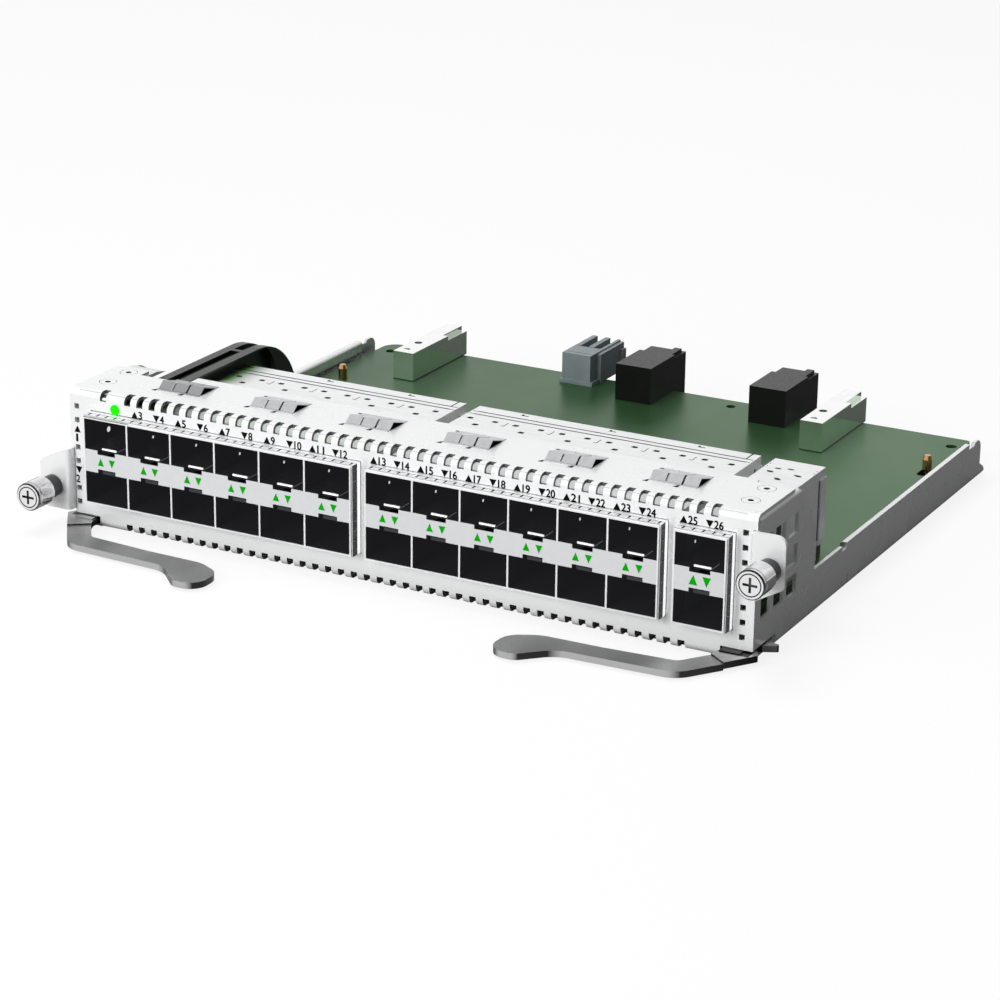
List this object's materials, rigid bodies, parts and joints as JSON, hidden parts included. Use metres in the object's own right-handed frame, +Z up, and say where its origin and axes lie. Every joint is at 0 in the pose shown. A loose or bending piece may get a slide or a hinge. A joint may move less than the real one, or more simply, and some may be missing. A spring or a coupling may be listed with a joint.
{
  "type": "switch line card",
  "caption": "Plug-in line card for a network chassis: slotted front panel with two rows of transceiver ports, ejector levers, thumbscrews, open tray and circuit board.",
  "frame": {"origin": "centre of the tray's underside", "axes": "+Z up, +Y from the front panel to the backplane connectors, +X to the panel's right as seen from the front"},
  "size_m": [0.226, 0.2125, 0.0417],
  "materials": {
    "panel_steel": "satin white-silver coat",
    "cage_steel": "satin tin plate",
    "finger_steel": "satin",
    "clip_steel": "satin",
    "light_pipe": "gloss",
    "status_pipe": "gloss",
    "black_plastic": "matte",
    "grey_plastic": "matte",
    "lever_zinc": "bead blasted",
    "screw_chrome": "bright satin",
    "sleeve_steel": "dark satin",
    "rivet_steel": "satin",
    "board_green": "satin solder mask",
    "standoff_steel": "satin",
    "brass": "bright",
    "guide_metal": "satin"
  },
  "bodies": {
    "card": {"front_panel": "panel_steel", "base_tray": "panel_steel", "cover_rivets": "rivet_steel", "grounding_clips": "clip_steel", "pivot_rivets": "rivet_steel", "screw_sleeve_left": "sleeve_steel", "screw_sleeve_right": "sleeve_steel", "main_board": "board_green", "board_standoffs": "standoff_steel", "board_screws": "standoff_steel", "locating_pins": "brass", "guide_block_left": "guide_metal", "guide_block_right": "guide_metal", "signal_connector_left": "black_plastic", "signal_connector_right": "black_plastic", "power_connector": "grey_plastic", "light_pipe_frame": "black_plastic", "status_light_pipe": "status_pipe", "cage_1_shell": "cage_steel", "cage_1_rear_cover": "cage_steel", "cage_1_centre_band": "cage_steel", "cage_1_light_pipes": "light_pipe", "cage_1_finger_frame": "finger_steel", "cage_1_connectors": "black_plastic", "cage_1_dividers": "cage_steel", "cage_2_shell": "cage_steel", "cage_2_rear_cover": "cage_steel", "cage_2_centre_band": "cage_steel", "cage_2_light_pipes": "light_pipe", "cage_2_finger_frame": "finger_steel", "cage_2_connectors": "black_plastic", "cage_2_dividers": "cage_steel", "cage_3_shell": "cage_steel", "cage_3_rear_cover": "cage_steel", "cage_3_centre_band": "cage_steel", "cage_3_light_pipes": "light_pipe", "cage_3_finger_frame": "finger_steel", "cage_3_connectors": "black_plastic"},
    "lever_left": {"lever_left": "lever_zinc"},
    "lever_right": {"lever_right": "lever_zinc"},
    "ring_left": {"screw_ring_left": "rivet_steel"},
    "ring_right": {"screw_ring_right": "rivet_steel"},
    "screw_left": {"thumbscrew_left": "screw_chrome"},
    "screw_right": {"thumbscrew_right": "screw_chrome"}
  },
  "joints": [
    {"name": "lever_left_hinge", "type": "hinge", "parent": "card", "child": "lever_left", "pos_m": [-0.0981, -0.0798, 0.00195], "axis": [0, 0, -1], "range_deg": [0, 40]},
    {"name": "lever_right_hinge", "type": "hinge", "parent": "card", "child": "lever_right", "pos_m": [0.0981, -0.0798, 0.00195], "axis": [0, 0, 1], "range_deg": [0, 40]},
    {"name": "screw_left_slide", "type": "slide", "parent": "card", "child": "ring_left", "axis": [0, 1, 0], "range_m": [0, 0.004]},
    {"name": "screw_left_spin", "type": "hinge", "parent": "ring_left", "child": "screw_left", "pos_m": [-0.1088, -0.0923, 0.011], "axis": [0, 1, 0], "continuous": true},
    {"name": "screw_right_slide", "type": "slide", "parent": "card", "child": "ring_right", "axis": [0, 1, 0], "range_m": [0, 0.004]},
    {"name": "screw_right_spin", "type": "hinge", "parent": "ring_right", "child": "screw_right", "pos_m": [0.1088, -0.0923, 0.0271], "axis": [0, 1, 0], "continuous": true}
  ]
}
